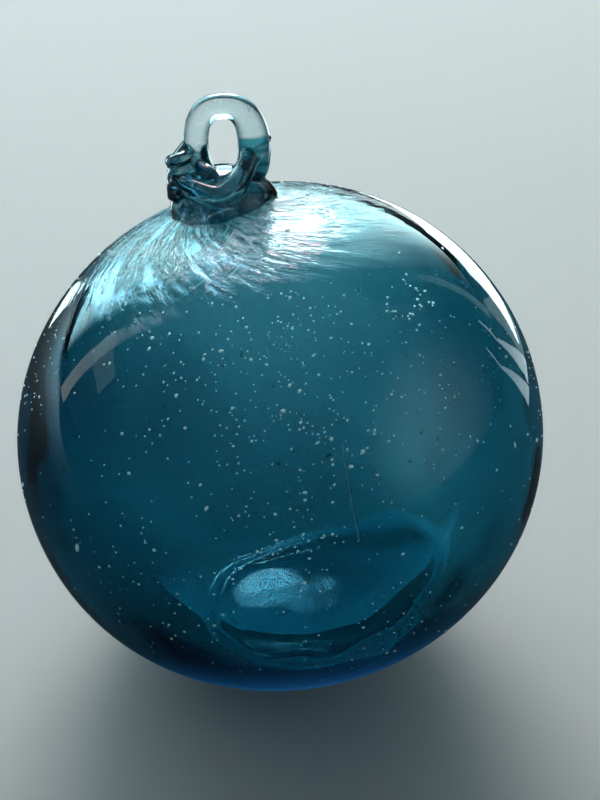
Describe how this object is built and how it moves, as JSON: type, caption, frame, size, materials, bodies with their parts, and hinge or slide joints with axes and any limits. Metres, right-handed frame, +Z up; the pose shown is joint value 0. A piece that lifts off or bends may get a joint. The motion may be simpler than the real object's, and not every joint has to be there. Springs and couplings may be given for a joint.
{
  "type": "glass float ball",
  "caption": "Hollow hand-blown teal glass ball with a fused clear glass hanging loop on a short collar, lying loose on a small flat spot with its neck leaning back.",
  "frame": {"origin": "middle of the flat spot that the ball rests on", "axes": "+Z up from the surface it lies on; the neck leans 18.5 degrees from +Z towards -X and +Y; the loop's hole faces -Y"},
  "size_m": [0.0999, 0.0998, 0.1129],
  "materials": {
    "teal_glass": "polished, seeded, see-through",
    "clear_glass": "polished, see-through"
  },
  "bodies": {
    "root": {"glass_ball": "teal_glass", "hanging_loop": "clear_glass"}
  },
  "joints": []
}
